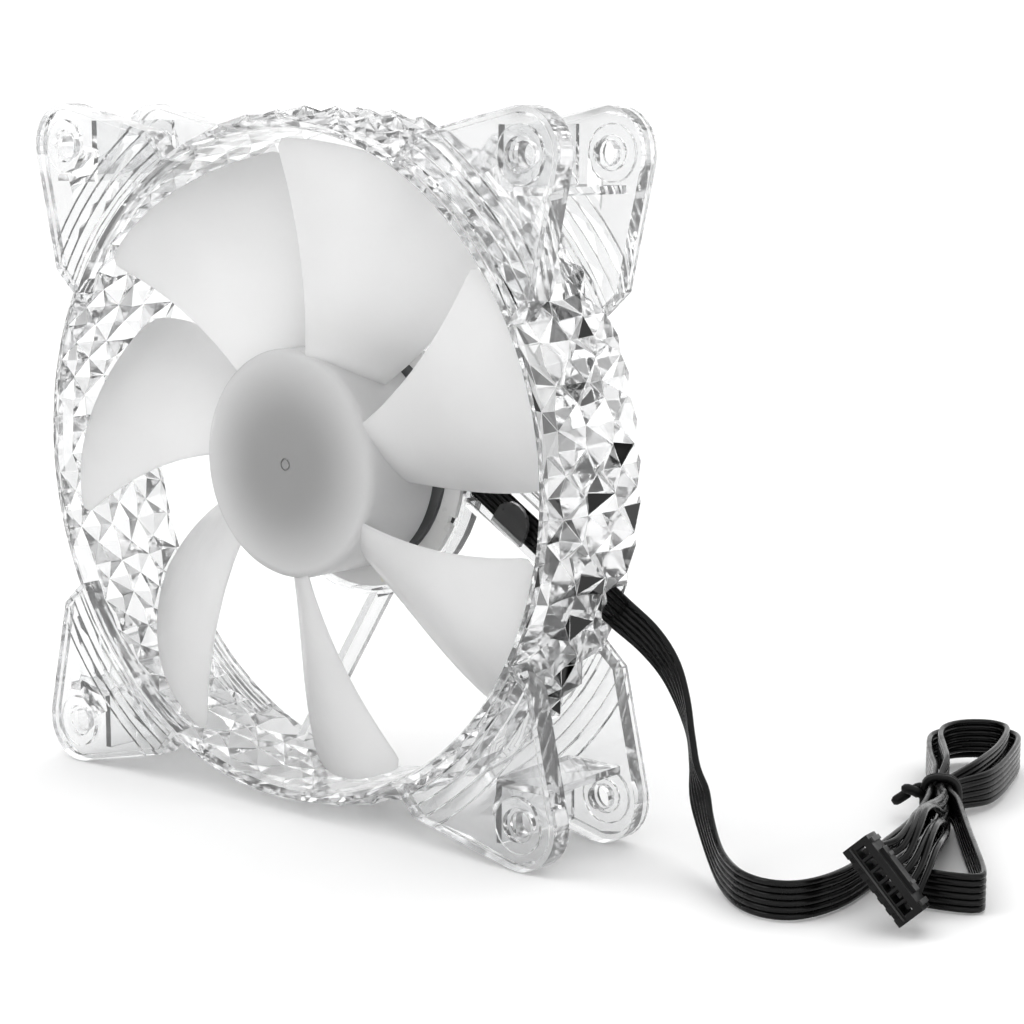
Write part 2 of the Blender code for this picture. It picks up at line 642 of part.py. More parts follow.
def stator():
    def star(name, front, back, look, shrink):
        outline = star_outline((SHOE_RADIUS - shrink) * MM, (SHOE_INNER_RADIUS + shrink) * MM,
                               (ARM_HALF_WIDTH + shrink / 4) * MM, CORE_RADIUS)
        part = add_object(name, prism(outline, front * MM, back * MM), look)
        bore = add_object(name + "_bore", cylinder(CORE_BORE_RADIUS, (front - 1) * MM,
                                                   (back + 1) * MM))
        combine(part, bore, "DIFFERENCE")

    near, far = INSULATOR_Y
    star("stator_core", -CORE_HALF_HEIGHT, CORE_HALF_HEIGHT, "steel", 0.0)
    star("insulator_front", -far, -near, "nylon", 0.4)
    star("insulator_rear", near, far, "nylon", 0.4)
    hole = add_object("coil_hole", box(COIL_HOLE, COIL_PLACE))
    coil_body = box(COIL_SIZE, COIL_PLACE)
    along = [e for e in coil_body.edges if abs(e.verts[0].co.x - e.verts[1].co.x) > MM]
    bmesh.ops.bevel(coil_body, geom=along, offset=COIL_CORNER, segments=2, affect="EDGES",
                    profile=0.5)
    first = add_object("coil_pattern", coil_body)
    combine(first, hole, "DIFFERENCE")
    for pole in range(4):
        turn = Matrix.Rotation(pole * math.pi / 2, 4, "Y")
        coil = baked(first, f"coil_{pole + 1}", turn)
        coil.data.materials.append(material("copper"))
        coil.hide_render = False
        coil.display_type = "TEXTURED"
        bpy.data.collections["cutters"].objects.unlink(coil)
        bpy.data.collections["case_fan"].objects.link(coil)
    bpy.data.objects.remove(first)
    bpy.data.objects.remove(hole)


def rings():
    """The plain turned pieces of the bearing, and the two boards."""
    for name, outline, look, steps in (
            ("bearing_sleeve", ring_outline(*SLEEVE_RING), "bronze", 24),
            ("oil_seal_washer", ring_outline(*SEAL_RING), "nylon", 24),
            ("retaining_clip", ring_outline(*RETAINING_RING), "nylon", 20),
            ("thrust_pad", THRUST_PAD_PROFILE, "nylon", 20),
            ("circuit_board", ring_outline(*CIRCUIT_BOARD_RING), "grey_board", 48),
            ("led_board", ring_outline(*LED_BOARD_RING), "white_board", 48),
            ("rear_label", LABEL_PROFILE, "label", 48)):
        scaled = [(r * MM, y * MM) for r, y in outline]
        made = add_object(name, turned(scaled, steps), look, smooth=True)
        if name == "led_board":
            _, outer, front, back = LED_BOARD_RING
            x, z = polar((outer - 0.2) * MM, LED_BOARD_NOTCH_BEARING)
            notch = box(LED_BOARD_NOTCH, (x, (front + back) / 2 * MM, z),
                        Matrix.Rotation(math.radians(-LED_BOARD_NOTCH_BEARING), 3, "Y"))
            combine(made, add_object("led_board_notch", notch), "DIFFERENCE")


def board_parts():
    """The small parts soldered to the two boards: size, radius, bearing and y."""
    def chip(name, size, radius, bearing, y, look):
        x, z = polar(radius * MM, bearing)
        turn = Matrix.Rotation(-math.radians(bearing), 3, "Y")
        add_object(name, box([s * MM for s in size], (x, y * MM, z), turn), look)

    chip("driver_chip", (4.0, 1.2, 5.0), 9.5, 45, 7.1, "chip")
    chip("hall_sensor", (2.8, 1.4, 3.0), 15.4, 135, 7.0, "chip")
    chip("capacitor", (1.6, 1.1, 3.2), 12.0, 150, 9.95, "nylon")
    for index in range(4):
        chip(f"led_{index + 1}", (2.0, 1.4, 3.0), 21.7, 20 + 90 * index, 7.1, "led")


# ---- lead ---------------------------------------------------------------------------
def smooth_route(route, spacing):
    """Even points on a Catmull-Rom curve through the route's own points."""
    points = [Vector(p) for p in route]
    padded = [2 * points[0] - points[1], *points, 2 * points[-1] - points[-2]]
    dense = []
    for a, b, c, d in zip(padded, padded[1:], padded[2:], padded[3:]):
        for step in range(20):
            t = step / 20
            dense.append(0.5 * (2 * b + (c - a) * t + (2 * a - 5 * b + 4 * c - d) * t ** 2
                                + (3 * b - a - 3 * c + d) * t ** 3))
    dense.append(points[-1])
    lengths = [0.0]
    for a, b in zip(dense, dense[1:]):
        lengths.append(lengths[-1] + (b - a).length)
    count = round(lengths[-1] / spacing)
    even, j = [], 0
    for i in range(count + 1):
        wanted = lengths[-1] * i / count
        while j < len(lengths) - 2 and lengths[j + 1] < wanted:
            j += 1
        part = (wanted - lengths[j]) / (lengths[j + 1] - lengths[j])
        even.append(dense[j].lerp(dense[j + 1], part))
    return even


def trough_line():
    """Where the lead starts in the motor base, its direction, and its length to the ring."""
    direction = strut_direction()
    start = channel_side(-CHANNEL_PITCH / 2) - direction * 6 * MM
    return start, direction, reach_to(start, direction, LEAD_EXIT_RADIUS)


def free_lead():
    start, direction, length = trough_line()
    leaves = start + direction * (length + GAP) + Vector((0, RIBBON_Y, AXIS_HEIGHT))
    route = [leaves] + [[c * MM for c in p] for p in LEAD_ROUTE]
    points = smooth_route(route, 4 * MM)
    curve = bpy.data.curves.new("lead_free", "CURVE")
    curve.dimensions = "3D"
    spline = curve.splines.new("POLY")
    spline.points.add(len(points) - 1)
    for target, point in zip(spline.points, points):
        target.co = (*point, 1.0)
    curve.bevel_depth = RIBBON_WIDTH / 2
    curve.bevel_resolution = 2
    curve.use_fill_caps = True
    curve.materials.append(material("lead"))
    made = bpy.data.objects.new("lead_free", curve)
    bpy.data.collections["case_fan"].objects.link(made)


def strut_lead():
    """The stretch of the lead that lies in the trough, from under the board to the ring."""
    start, direction, length = trough_line()
    add_object("lead_in_strut", bar(start, direction, length, RIBBON_WIDTH,
                                    RIBBON_Y - RIBBON_THICKNESS / 2,
                                    RIBBON_Y + RIBBON_THICKNESS / 2), "lead")


def slab(points, bottom, top):
    """A plan outline in millimetres, extruded upwards."""
    bm = bmesh.new()
    face = bm.faces.new([bm.verts.new((x * MM, y * MM, bottom)) for x, y in points])
    moved = bmesh.ops.extrude_face_region(bm, geom=[face])["geom"]
    lifted = [v for v in moved if isinstance(v, bmesh.types.BMVert)]
    bmesh.ops.translate(bm, verts=lifted, vec=(0, 0, top - bottom))
    return bm


def hank():
    """The tied hank as two outer shapes that meet beside the tie, and the tie itself."""
    front = add_object("hank_front", slab(FRONT_HANK, 0.05 * MM, HANK_HEIGHT), "lead",
                       centred=False)
    add_object("hank_rear", slab(REAR_HANK, 0.05 * MM, REAR_HANK_HEIGHT), "lead",
               centred=False)
    turn = Matrix.Rotation(TIE_BEARING, 3, "Z")
    under = Vector((TIE_CENTRE.x, TIE_CENTRE.y, 0))
    relief = box((4.6 * MM, 12 * MM, 2.4 * MM), under, turn)
    combine(front, add_object("hank_relief", relief, centred=False), "DIFFERENCE")
    band = add_object("tie", box((4.0 * MM, 7.8 * MM, 7.2 * MM), TIE_CENTRE, turn), "lead",
                      centred=False)
    window = box((6.0 * MM, 6.4 * MM, 5.6 * MM), TIE_CENTRE, turn)
    combine(band, add_object("tie_window", window, centred=False), "DIFFERENCE")


def plug():
    """A six-way female housing that leans beside the hank, with a contact in every way."""
    up = PLUG_DEPTH_AXIS.cross(PLUG_ROW).normalized()
    pose = Matrix((PLUG_ROW, PLUG_DEPTH_AXIS, up)).transposed().to_4x4()
    pose.translation = PLUG_ORIGIN
    row, depth, height = PLUG_SIZE

    def placed(name, bm, look=None):
        bmesh.ops.transform(bm, verts=bm.verts, matrix=pose)
        return add_object(name, bm, look, centred=False)

    middle = (row / 2, depth / 2, height / 2)
    body = placed("plug_housing", box(PLUG_SIZE, middle), "housing")
    cavities, notches = [], []
    for way in range(PLUG_WAYS):
        x = row / 2 + (way - (PLUG_WAYS - 1) / 2) * PLUG_PITCH
        cavities.append(box((PLUG_CAVITY, 2 * depth, PLUG_CAVITY), (x, middle[1], PLUG_WAY_Z)))
        notches.append(box(PLUG_NOTCH, (x, 0, 0)))
        contact = box(CONTACT_SIZE, (x, CONTACT_DEPTH, PLUG_WAY_Z))
        placed(f"contact_{way + 1}", contact, "tin")
    bar_on_face = box((row - 0.6 * MM, *PLUG_BAR), (middle[0], 0, PLUG_BAR_Z))
    latch = box(PLUG_LATCH, (middle[0], PLUG_LATCH[1], height))
    combine(body, placed("plug_bar", bar_on_face), "UNION")
    combine(body, placed("plug_latch", latch), "UNION")
    combine(body, placed("plug_cavities", merge(cavities)), "DIFFERENCE")
    combine(body, placed("plug_notches", merge(notches)), "DIFFERENCE")


def main():
    clear_scene()
    frame()
    rotor()
    stator()
    rings()
    board_parts()
    strut_lead()
    free_lead()
    hank()
    plug()


main()
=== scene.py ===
"""Visual model of the case fan: clear faceted frame, frosted impeller, flat six-wire lead.

Metres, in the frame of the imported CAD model: +Z up, the fan's axis along Y, inlet towards -Y.
"""

import json
import math
import random

import bmesh
import bpy
from mathutils import Matrix, Vector

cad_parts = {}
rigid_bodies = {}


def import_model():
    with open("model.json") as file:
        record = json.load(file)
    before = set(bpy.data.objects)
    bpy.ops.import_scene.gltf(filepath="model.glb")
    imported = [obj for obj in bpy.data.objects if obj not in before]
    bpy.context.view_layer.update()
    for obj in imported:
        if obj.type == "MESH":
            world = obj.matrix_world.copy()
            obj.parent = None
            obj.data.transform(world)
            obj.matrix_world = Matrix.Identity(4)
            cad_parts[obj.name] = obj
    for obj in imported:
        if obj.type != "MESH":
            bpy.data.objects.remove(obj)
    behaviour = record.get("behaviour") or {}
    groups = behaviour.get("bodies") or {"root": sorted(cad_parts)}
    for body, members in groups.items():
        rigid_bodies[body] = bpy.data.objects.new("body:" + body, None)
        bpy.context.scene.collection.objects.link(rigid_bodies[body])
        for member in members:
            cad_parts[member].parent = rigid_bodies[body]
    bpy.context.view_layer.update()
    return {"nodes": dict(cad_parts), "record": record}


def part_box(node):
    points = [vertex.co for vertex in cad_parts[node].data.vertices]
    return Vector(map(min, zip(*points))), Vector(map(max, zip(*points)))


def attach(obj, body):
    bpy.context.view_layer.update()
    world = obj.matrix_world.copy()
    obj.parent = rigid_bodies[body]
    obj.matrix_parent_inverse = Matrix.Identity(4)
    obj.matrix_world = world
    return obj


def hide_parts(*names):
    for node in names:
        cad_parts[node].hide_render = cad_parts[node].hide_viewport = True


MM = 0.001
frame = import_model()
NODES = frame["nodes"]
JOINT = frame["record"]["behaviour"]["joints"][0]
AXIS = Vector(JOINT["pos_m"])
FIXED, TURNING = JOINT["parent"], JOINT["child"]
chance = random.Random(11)


# ---- camera -------------------------------------------------------------------------
CAMERA_EYE = Vector((0.2930, -0.3043, 0.1198))
CAMERA_RIGHT = Vector((0.770, 0.638, 0.0)).normalized()
CAMERA_FORWARD = Vector((-0.629, 0.760, -0.162)).normalized()
CAMERA_ROLL = math.radians(0.159)
CAMERA_LENS = 87.07
CAMERA_SENSOR = 36.0


def make_camera():
    """A long lens in front of the fan, a little above it and to its right."""
    level = CAMERA_RIGHT.cross(CAMERA_FORWARD).normalized()
    right = CAMERA_RIGHT * math.cos(CAMERA_ROLL) + level * math.sin(CAMERA_ROLL)
    up = level * math.cos(CAMERA_ROLL) - CAMERA_RIGHT * math.sin(CAMERA_ROLL)
    data = bpy.data.cameras.new("camera")
    data.lens = CAMERA_LENS
    data.sensor_width = CAMERA_SENSOR
    camera = bpy.data.objects.new("camera", data)
    turn = Matrix((right, up, -CAMERA_FORWARD)).transposed().to_4x4()
    turn.translation = CAMERA_EYE
    camera.matrix_world = turn
    bpy.context.scene.collection.objects.link(camera)
    bpy.context.scene.camera = camera


make_camera()


# ---- materials ----------------------------------------------------------------------
MIX_FIRST, MIX_SECOND, MIX_RESULT = 6, 7, 2    # a Mix node's sockets for colours
NOISE_LOW, NOISE_HIGH = 0.3, 0.7               # the span of a noise that is spread out
CLEAR_TONE = (0.905, 0.909, 0.912)
# Painted shade on the hub's face: stops of its darkening out from the axis, and how far that
# darkening reaches.
HUB_PAINTED_SHADE_STOPS = ((0.22, 0.50), (0.46, 0.51), (0.72, 0.75), (0.98, 1.0))
HUB_PAINTED_SHADE_REACH = 19.5 * MM


def grey(level):
    return level, level, level


def new_material(name, colour, roughness, metallic=0.0, **sockets):
    """A Principled material with its even values on its own sockets."""
    made = bpy.data.materials.new(name)
    made.use_nodes = True
    shader = made.node_tree.nodes["Principled BSDF"]
    shader.inputs["Base Color"].default_value = (*colour, 1.0)
    shader.inputs["Roughness"].default_value = roughness
    shader.inputs["Metallic"].default_value = metallic
    for key, value in sockets.items():
        label = key.replace("_", " ").title().replace("Ior", "IOR")
        shader.inputs[label].default_value = value
    return made


def object_coordinates(nodes):
    found = nodes.get("Texture Coordinate")
    return found or nodes.new("ShaderNodeTexCoord")


def new_ramp(nodes, *stops):
    """A colour ramp with the given stops, each a position and a colour, in rising order."""
    ramp = nodes.new("ShaderNodeValToRGB")
    elements = ramp.color_ramp.elements
    for end, (position, colour) in ((0, stops[0]), (1, stops[-1])):
        elements[end].position = position
        elements[end].color = (*colour, 1.0)
    for position, colour in stops[1:-1]:
        elements.new(position).color = (*colour, 1.0)
    return ramp


def vector_math(nodes, operation, second=None):
    made = nodes.new("ShaderNodeVectorMath")
    made.operation = operation
    if second:
        made.inputs[1].default_value = second
    return made


def add_noise(made, scale, detail=3.0, stretch=(1, 1, 1)):
    """A noise texture in object coordinates, stretched if asked."""
    nodes, links = made.node_tree.nodes, made.node_tree.links
    place = nodes.new("ShaderNodeMapping")
    place.inputs["Scale"].default_value = stretch
    links.new(object_coordinates(nodes).outputs["Object"], place.inputs["Vector"])
    noise = nodes.new("ShaderNodeTexNoise")
    noise.inputs["Scale"].default_value = scale
    noise.inputs["Detail"].default_value = detail
    links.new(place.outputs["Vector"], noise.inputs["Vector"])
    return noise


def vary_roughness(made, scale, low, high):
    """A roughness that drifts between the two values."""
    nodes, links = made.node_tree.nodes, made.node_tree.links
    spread = nodes.new("ShaderNodeMapRange")
    spread.inputs["From Min"].default_value = NOISE_LOW
    spread.inputs["From Max"].default_value = NOISE_HIGH
    spread.inputs["To Min"].default_value = low
    spread.inputs["To Max"].default_value = high
    links.new(add_noise(made, scale).outputs["Fac"], spread.inputs["Value"])
    links.new(spread.outputs["Result"], nodes["Principled BSDF"].inputs["Roughness"])


def vary_colour(made, scale, first, second, detail=3.0, stretch=(1, 1, 1)):
    """A colour that drifts between the two colours."""
    nodes, links = made.node_tree.nodes, made.node_tree.links
    ramp = new_ramp(nodes, (0.35, first), (0.65, second))
    links.new(add_noise(made, scale, detail, stretch).outputs["Fac"], ramp.inputs["Fac"])
    links.new(ramp.outputs["Color"], nodes["Principled BSDF"].inputs["Base Color"])


def bump(made, scale, distance, detail=4.0, stretch=(1, 1, 1)):
    """Fine relief of the stated height in metres."""
    nodes, links = made.node_tree.nodes, made.node_tree.links
    relief = nodes.new("ShaderNodeBump")
    relief.inputs["Distance"].default_value = distance
    links.new(add_noise(made, scale, detail, stretch).outputs["Fac"], relief.inputs["Height"])
    links.new(relief.outputs["Normal"], nodes["Principled BSDF"].inputs["Normal"])


def clear_plastic(name):
    """Clear plastic with slight ripples, with painted reflection and shade facet by facet from
    a face attribute.
    """
    made = new_material(name, (0.97, 0.975, 0.98), 0.03, transmission_weight=0.93, ior=1.49)
    nodes, links = made.node_tree.nodes, made.node_tree.links
    tone = nodes.new("ShaderNodeAttribute")
    tone.attribute_name = "painted_facet_shade"
    shade = new_ramp(nodes, (0.0, grey(0.0)), (1.0, CLEAR_TONE))
    links.new(tone.outputs["Fac"], shade.inputs["Fac"])
    links.new(shade.outputs["Color"], nodes["Principled BSDF"].inputs["Base Color"])
    vary_roughness(made, 60.0, 0.03, 0.09)
    bump(made, 55.0, 0.00018, detail=2.0)
    return made


def frosted_plastic(name):
    """Milky plastic that glows a little; painted shade darkens the hub's face towards its
    middle, where the steel cup shows dark through it.
    """
    made = new_material(name, grey(0.88), 0.5, transmission_weight=0.5, ior=1.45,
                        subsurface_weight=0.3, subsurface_scale=0.004,
                        subsurface_radius=(1.0, 1.0, 1.0), coat_weight=0.3,
                        coat_roughness=0.18)
    vary_colour(made, 26.0, grey(0.84), grey(0.90), detail=5.0)
    vary_roughness(made, 180.0, 0.42, 0.60)
    bump(made, 900.0, 0.00003)
    nodes, links = made.node_tree.nodes, made.node_tree.links
    shader = nodes["Principled BSDF"]
    clouds = shader.inputs["Base Color"].links[0].from_socket
    # Painted shade: the colour is multiplied by a darkening that grows towards the axis.
    flat = vector_math(nodes, "MULTIPLY", (1, 0, 1))
    centred = vector_math(nodes, "SUBTRACT", (0, 0, AXIS.z))
    reach = vector_math(nodes, "LENGTH")
    share = nodes.new("ShaderNodeMapRange")
    share.inputs["From Max"].default_value = HUB_PAINTED_SHADE_REACH
    hub_painted_shade = new_ramp(nodes, *((position, grey(level)) for position, level in HUB_PAINTED_SHADE_STOPS))
    hub_painted_shade.color_ramp.interpolation = "B_SPLINE"
    both = nodes.new("ShaderNodeMix")
    both.data_type = "RGBA"
    both.blend_type = "MULTIPLY"
    both.inputs["Factor"].default_value = 1.0
    links.new(object_coordinates(nodes).outputs["Object"], flat.inputs[0])
    links.new(flat.outputs["Vector"], centred.inputs[0])
    links.new(centred.outputs["Vector"], reach.inputs[0])
    links.new(reach.outputs["Value"], share.inputs["Value"])
    links.new(share.outputs["Result"], hub_painted_shade.inputs["Fac"])
    links.new(clouds, both.inputs[MIX_FIRST])
    links.new(hub_painted_shade.outputs["Color"], both.inputs[MIX_SECOND])
    links.new(both.outputs[MIX_RESULT], shader.inputs["Base Color"])
    return made


def moulded(name, dark, light, roughness=0.45, relief=0.00003, scale=1500.0, gloss=0.5):
    """An opaque plastic or coating between two colours."""
    made = new_material(name, dark, roughness, specular_ior_level=gloss)
    vary_colour(made, 90.0, dark, light)
    vary_roughness(made, 300.0, roughness - 0.08, roughness + 0.1)
    bump(made, scale, relief)
    return made


def metal(name, dark, light, roughness, stretch=(1, 60, 1)):
    """A bare metal, its grain drawn out by the stretch."""
    made = new_material(name, light, roughness, metallic=1.0)
    vary_colour(made, 60.0, dark, light, stretch=stretch)
    vary_roughness(made, 220.0, roughness - 0.08, roughness + 0.12)
    bump(made, 260.0, 0.00001, stretch=stretch)
    return made


CLEAR = clear_plastic("clear_frame")
FROSTED = frosted_plastic("frosted_impeller")
LEAD = moulded("lead_cover", grey(0.0012), grey(0.003), 0.22, 0.00002, 700, 0.2)
# Lighter than the housing: painted highlight on the plug's ribs and face strip.
PLUG_PAINTED_HIGHLIGHT = moulded("plug_painted_highlight", grey(0.022), grey(0.045), 0.4, gloss=0.3)
TIE = moulded("tie_cover", grey(0.003), grey(0.007), 0.42, gloss=0.18)
HOUSING = moulded("plug_plastic", grey(0.003), grey(0.007), 0.34, gloss=0.18)
STEEL = metal("pressed_steel", (0.32, 0.33, 0.35), (0.46, 0.47, 0.49), 0.32)
FERRITE = moulded("ferrite", (0.030, 0.030, 0.032), (0.07, 0.07, 0.07), 0.65)
BRASS = metal("brass", (0.58, 0.40, 0.16), (0.75, 0.55, 0.25), 0.28)
BRONZE = metal("sintered_bronze", (0.40, 0.23, 0.11), (0.58, 0.36, 0.18), 0.5, (1, 1, 1))
NYLON = moulded("nylon", (0.66, 0.64, 0.57), (0.78, 0.76, 0.70), 0.5)
COPPER = metal("winding", (0.42, 0.14, 0.05), (0.70, 0.30, 0.12), 0.35, (90, 1, 90))
GREY_BOARD = moulded("grey_board", (0.15, 0.155, 0.155), (0.21, 0.215, 0.215), 0.4)
WHITE_BOARD = moulded("white_board", (0.80, 0.80, 0.79), (0.90, 0.90, 0.90), 0.35)
LABEL = moulded("blank_label", (0.022, 0.022, 0.023), (0.04, 0.04, 0.04), 0.6, 0.00004, 400)
CHIP = moulded("chip_package", (0.015, 0.015, 0.016), (0.03, 0.03, 0.03), 0.55)
CERAMIC = moulded("ceramic", (0.45, 0.36, 0.24), (0.60, 0.50, 0.36), 0.4)
LED = moulded("led_lens", (0.86, 0.84, 0.70), (0.96, 0.95, 0.86), 0.25)
# Tin darkened far below its own colour: painted shade on the contacts down in the plug.
TIN_IN_PAINTED_SHADE = metal("tin", (0.05, 0.05, 0.05), (0.09, 0.09, 0.088), 0.45)


# ---- mesh helpers -------------------------------------------------------------------
def make_piece(name, bm, look, smooth_below=None):
    """A bmesh as a shown object, with edges under the given angle shaded smooth."""
    bmesh.ops.recalc_face_normals(bm, faces=bm.faces)
    mesh = bpy.data.meshes.new(name)
    bm.to_mesh(mesh)
    bm.free()
    mesh.materials.append(look)
    made = bpy.data.objects.new(name, mesh)
    bpy.context.scene.collection.objects.link(made)
    if smooth_below is not None:
        mesh.shade_smooth()
        mesh.set_sharp_from_angle(angle=math.radians(smooth_below))
    return made


def welded_copy(node):
    """A bmesh of a CAD node with its doubled corners joined."""
    bm = bmesh.new()
    bm.from_mesh(NODES[node].data)
    bmesh.ops.remove_doubles(bm, verts=bm.verts, dist=2e-6)
    return bm


def add_box(bm, size, centre, pose):
    """A box of the given size in millimetres, centred on a point of the pose's own frame."""
    place = Matrix.Translation(Vector(centre) * MM)
    bmesh.ops.create_cube(bm, size=1.0, matrix=pose @ place @ Matrix.Diagonal(
        (*(Vector(size) * MM), 1.0)))


def add_face(bm, corners):
    """A face through the corners, left out where fewer than three of them differ."""
    unique = list(dict.fromkeys(corners))
    if len(unique) > 2:
        bm.faces.new(unique)


def catmull_rom(points, per_span=16):
    """Dense points on a smooth curve through the given tuples of any length."""
    first = [2 * a - b for a, b in zip(points[0], points[1])]
    last = [2 * a - b for a, b in zip(points[-1], points[-2])]
    padded = [first, *points, last]
    dense = []
    for a, b, c, d in zip(padded, padded[1:], padded[2:], padded[3:]):
        for step in range(per_span):
            t = step / per_span
            dense.append([0.5 * (2 * q + (r - p) * t + (2 * p - 5 * q + 4 * r - s) * t * t
                                 + (3 * q - p - 3 * r + s) * t ** 3)
                          for p, q, r, s in zip(a, b, c, d)])
    dense.append(list(points[-1]))
    return dense


def evenly(points, spacing):
    """The same curve with its points the given distance apart."""
    lengths = [0.0]
    for a, b in zip(points, points[1:]):
        lengths.append(lengths[-1] + math.dist(a[:3], b[:3]))
    count = max(2, round(lengths[-1] / spacing))
    even, j = [], 0
    for i in range(count + 1):
        wanted = lengths[-1] * i / count
        while j < len(lengths) - 2 and lengths[j + 1] < wanted:
            j += 1
        share = (wanted - lengths[j]) / max(1e-12, lengths[j + 1] - lengths[j])
        even.append([a + (b - a) * share for a, b in zip(points[j], points[j + 1])])
    return even


def sweep(bm, centres, radii, sides=10):
    """A closed tube along the centres, with its rings kept from twisting."""
    rings = []
    normal = None
    for i, here in enumerate(centres):
        ahead = centres[min(i + 1, len(centres) - 1)] - centres[max(i - 1, 0)]
        along = ahead.normalized()
        if normal is None:
            normal = along.orthogonal().normalized()
        normal = (normal - along * normal.dot(along)).normalized()
        side = along.cross(normal)
        radius = radii[i] if isinstance(radii, list) else radii
        rings.append([bm.verts.new(here + radius * (math.cos(a) * normal + math.sin(a) * side))
                      for a in (math.tau * k / sides for k in range(sides))])
    for a, b in zip(rings, rings[1:]):
        for k in range(sides):
            bm.faces.new((a[k], a[(k + 1) % sides], b[(k + 1) % sides], b[k]))
    bm.faces.new(rings[0][::-1])
    bm.faces.new(rings[-1])


# ---- lead ---------------------------------------------------------------------------
WIRES = 6
WIRE_PITCH = 1.02 * MM
WIRE_RADIUS = 0.545 * MM
# How far each wire strays where the ribbon is loose, in millimetres: across it and upwards.
LOOSE_WIRES = ((-0.76, 0.9), (-0.4, 2.2), (-0.04, 0.6), (0.2, 2.5), (0.4, 1.2), (0.68, -0.4))
SQUEEZE_SHIFT = 1.1 * WIRE_PITCH
STATION_SPACING = 1.1
LEAD_EXIT = Vector((55.85, 10.1, 38.4))
HELD_STEPS = 40
HELD_INSET = (2.0 * MM, 2.5 * MM)    # from the left and the top of the held ribbon's solid
TROUGH_SLOPE = math.radians(32.3)
TROUGH_ACROSS = Vector((math.sin(TROUGH_SLOPE), 0, math.cos(TROUGH_SLOPE)))
TROUGH_ALONG = Vector((math.cos(TROUGH_SLOPE), 0, -math.sin(TROUGH_SLOPE)))
TIE_CENTRE = Vector((88.8, 57.0, 3.9))
TIE_ALONG = Vector((-0.4695, 0.8829, 0.0))
TIE_ACROSS = Vector((0.8829, 0.4695, 0.0))
TIE_SQUEEZE = 0.80
TIE_TURNS = 1.95
TIE_STEPS = 56
TIE_REACH = (3.0, 3.3)    # half the loop's width and height
TIE_DRIFT = 1.0           # how far the loop's ends lie along the bundle from its middle
TIE_HEAD = (Vector((-2.8, -2.3, 1.5)), Vector((-1.9, -1.5, 1.4)), Vector((-0.8, -0.6, 0.8)))
TIE_TAIL = (Vector((-0.9, -0.9, -0.1)), Vector((-2.2, -2.3, -1.4)), Vector((-3.8, -3.9, -2.8)))
TIE_RADII = (0.45, 0.8, 0.88, 0.88, 0.88, 0.88, 0.88, 0.62)    # from either tip inwards
PLUG_ORIGIN = Vector((115.6, -1.3, 1.6))
PLUG_ROW = Vector((-0.670, -0.108, 0.734)).normalized()
PLUG_DEPTH = Vector((-0.348, 0.920, -0.183))
PLUG_DEPTH = (PLUG_DEPTH - PLUG_ROW * PLUG_DEPTH.dot(PLUG_ROW)).normalized()
PLUG_UP = PLUG_DEPTH.cross(PLUG_ROW).normalized()
PLUG_BACK = Vector((6.8, 6.3, 2.5))    # where the wires go in: along the row, in and up
# Size and centre of each rib and of the strip, along the row, in and up from the origin; all
# take a grey lighter than the housing as a painted highlight, and the strip is only a painted
# highlight line on the face.
PLUG_RIBS = (((0.8, 5.6, 0.7), (1.1, 3.6, 4.45)), ((0.8, 5.6, 0.7), (12.5, 3.6, 4.45)),
             ((0.6, 3.1, 0.4), (4.2, 3.5, 5.05)), ((0.6, 3.1, 0.4), (9.4, 3.5, 5.05)),
             ((12.8, 0.2, 0.26), (6.8, -0.42, 1.3)))
PLUG_BEVEL = 0.13 * MM
RIB_BEVEL = 0.08 * MM


def at_tie(offset, lift=0.0):
    """The lead where it goes through the tie, bunched up and standing on edge."""
    place = TIE_CENTRE + TIE_ACROSS * offset
    return (place.x, place.y, place.z + lift, 0.0, 0.0, 1.0, TIE_SQUEEZE)


def standing(points, height=3.15):
    """The lead on edge at the given height."""
    return [(x, y, height, 0.0, 0.0, 1.0, 1.0) for x, y in points]


